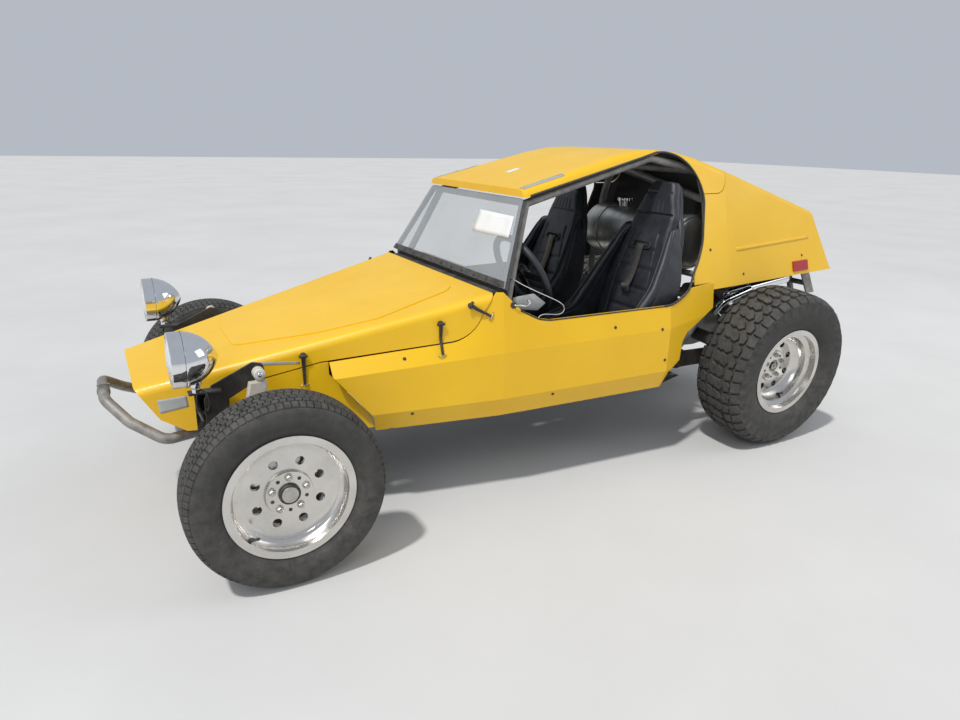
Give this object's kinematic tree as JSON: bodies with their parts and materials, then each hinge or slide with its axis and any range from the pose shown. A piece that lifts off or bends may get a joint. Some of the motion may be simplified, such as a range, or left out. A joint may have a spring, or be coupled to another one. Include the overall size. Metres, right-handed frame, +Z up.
{
  "type": "dune buggy",
  "caption": "Open-wheeled off-road buggy with a wedge-shaped fibreglass body, roof shell and tail, door-less cabin, tubular cage, steered front wheels and leaning rear wheels.",
  "frame": {"origin": "on the ground at the centre of the bounding box's base", "axes": "+X forward, +Y to the driver's left, +Z up"},
  "size_m": [3.5999, 1.579, 1.3659],
  "materials": {
    "yellow_gel": "weathered golden-yellow gel coat",
    "tyre": "dusty black rubber",
    "polished_alloy": "polished",
    "black_steel": "satin black paint",
    "worn_tube": "worn dark grey paint",
    "beige_steel": "faded beige paint",
    "cast_iron": "oily casting",
    "cast_alloy": "dull casting",
    "brushed_alloy": "brushed",
    "chrome": "bright plating",
    "black_plastic": "smooth black",
    "black_vinyl": "black vinyl",
    "clear_sheet": "hazy clear sheet",
    "red_plastic": "red lens",
    "white_wire": "thin white insulation",
    "rubber": "black rubber"
  },
  "bodies": {
    "chassis": {"left_side_panel": "yellow_gel", "right_side_panel": "yellow_gel", "roof_panel": "yellow_gel", "tail_cover": "yellow_gel", "front_beam": "black_steel", "shock_towers": "black_steel", "trailing_arms": "black_steel", "front_shocks": "beige_steel", "steering_box": "cast_iron", "steering_column": "black_steel", "backbone_frame": "black_steel", "floor_pans": "black_steel", "rear_suspension": "black_steel", "engine_and_gearbox": "cast_alloy", "exhaust_headers": "chrome", "roll_cage": "black_steel", "windscreen": "clear_sheet", "windscreen_frame": "black_steel", "cowl_panel": "black_steel", "dash_panel": "yellow_gel", "driver_seat": "black_vinyl", "passenger_seat": "black_vinyl", "fuel_tank": "brushed_alloy", "headlamps": "chrome", "headlamp_brackets": "black_steel", "front_bumper": "worn_tube", "rear_lamps": "red_plastic", "driver_controls": "black_steel", "cabin_wire": "white_wire", "headlamp_cables": "rubber"},
    "hood_lid": {"hood": "yellow_gel", "hood_straps": "rubber"},
    "left_steering_knuckle": {"left_knuckle": "black_steel"},
    "right_steering_knuckle": {"right_knuckle": "black_steel"},
    "front_left_wheel": {"front_left_tyre": "tyre", "front_left_rim": "polished_alloy"},
    "front_right_wheel": {"front_right_tyre": "tyre", "front_right_rim": "polished_alloy"},
    "rear_left_wheel": {"rear_left_tyre": "tyre", "rear_left_rim": "polished_alloy"},
    "rear_right_wheel": {"rear_right_tyre": "tyre", "rear_right_rim": "polished_alloy"},
    "steering_link_arm": {"pitman_arm": "black_steel"},
    "cross_link": {"tie_rod": "black_steel"},
    "hand_wheel": {"steering_wheel": "black_plastic"}
  },
  "joints": [
    {"name": "left_knuckle_steer", "type": "hinge", "parent": "chassis", "child": "left_steering_knuckle", "pos_m": [1.305, 0.56, 0.32], "axis": [0, 0, 1], "range_deg": [-28, 28]},
    {"name": "right_knuckle_steer", "type": "hinge", "parent": "chassis", "child": "right_steering_knuckle", "pos_m": [1.305, -0.56, 0.32], "axis": [0, 0, 1], "range_deg": [-28.5, 28.5]},
    {"name": "front_left_wheel_spin", "type": "hinge", "parent": "left_steering_knuckle", "child": "front_left_wheel", "pos_m": [1.305, 0.697, 0.32], "axis": [0, 1, 0], "continuous": true},
    {"name": "front_right_wheel_spin", "type": "hinge", "parent": "right_steering_knuckle", "child": "front_right_wheel", "pos_m": [1.305, -0.697, 0.32], "axis": [0, 1, 0], "continuous": true},
    {"name": "rear_left_wheel_spin", "type": "hinge", "parent": "chassis", "child": "rear_left_wheel", "pos_m": [-1.055, 0.622, 0.38285], "axis": [0, 0.9976, -0.0698], "continuous": true},
    {"name": "rear_right_wheel_spin", "type": "hinge", "parent": "chassis", "child": "rear_right_wheel", "pos_m": [-1.055, -0.622, 0.38285], "axis": [0, 0.9976, 0.0698], "continuous": true},
    {"name": "pitman_arm_swing", "type": "hinge", "parent": "chassis", "child": "steering_link_arm", "pos_m": [1.093, 0.1153, 0.285], "axis": [0, 0, 1], "range_deg": [-28.5, 28.5]},
    {"name": "tie_rod_shift", "type": "slide", "parent": "chassis", "child": "cross_link", "axis": [0, 1, 0], "range_m": [-0.0535, 0.0535]},
    {"name": "steering_wheel_turn", "type": "hinge", "parent": "chassis", "child": "hand_wheel", "pos_m": [0.2, 0.32, 0.87], "axis": [0.8829, 0, -0.4695], "range_deg": [-338, 338]},
    {"name": "hood_lift", "type": "slide", "parent": "chassis", "child": "hood_lid", "axis": [0, 0, 1], "range_m": [0, 0.3]}
  ],
  "couplings": [
    {"joint": "right_knuckle_steer", "follows": "left_knuckle_steer", "ratio": 1},
    {"joint": "pitman_arm_swing", "follows": "left_knuckle_steer", "ratio": 1},
    {"joint": "tie_rod_shift", "follows": "left_knuckle_steer", "m_per_rad": -0.106},
    {"joint": "steering_wheel_turn", "follows": "left_knuckle_steer", "ratio": -12}
  ]
}
